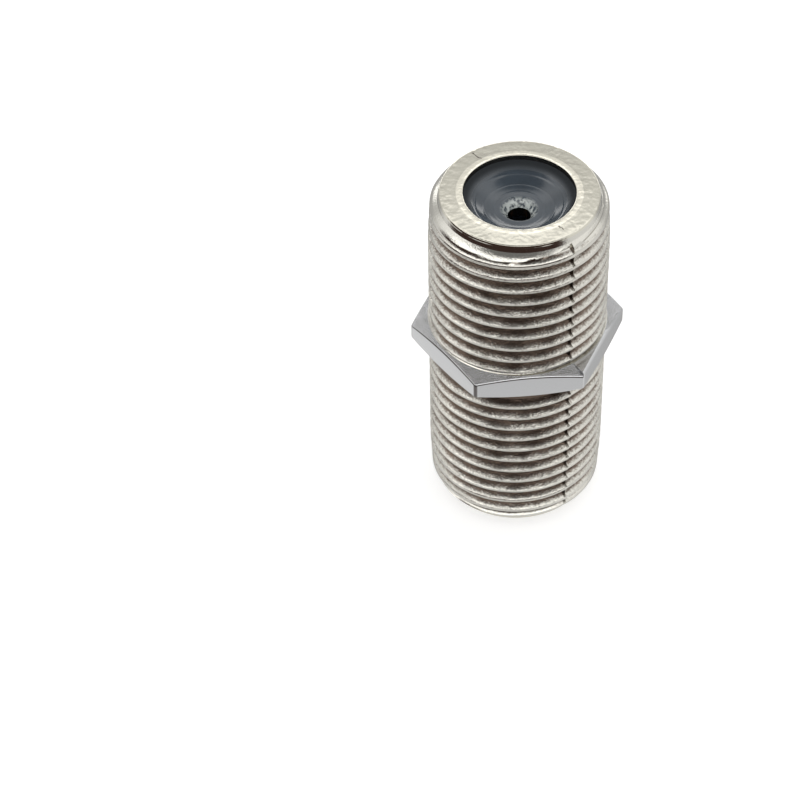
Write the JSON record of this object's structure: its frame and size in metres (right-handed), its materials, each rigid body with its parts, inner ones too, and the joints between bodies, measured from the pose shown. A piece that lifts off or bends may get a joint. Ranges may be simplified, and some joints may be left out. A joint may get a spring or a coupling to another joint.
{
  "type": "f connector",
  "caption": "Coaxial barrel coupler with a threaded end each side of an off-centre hexagon collar, and an insulated spring contact inside.",
  "frame": {"origin": "centre of the end face of the long end, on the axis, where the part stands", "axes": "+Z along the axis from the long end to the short end; two hexagon flats face +Y and -Y, a hexagon corner points to +X"},
  "size_m": [0.0112, 0.0098, 0.02],
  "materials": {
    "nickel_plate": "bright nickel plate on a zinc casting",
    "insulator_plastic": "dark grey moulded plastic",
    "spring_brass": "plain stamped strip"
  },
  "bodies": {
    "root": {"barrel": "nickel_plate", "upper_insulator": "insulator_plastic", "lower_insulator": "insulator_plastic", "centre_contact": "spring_brass"}
  },
  "joints": []
}
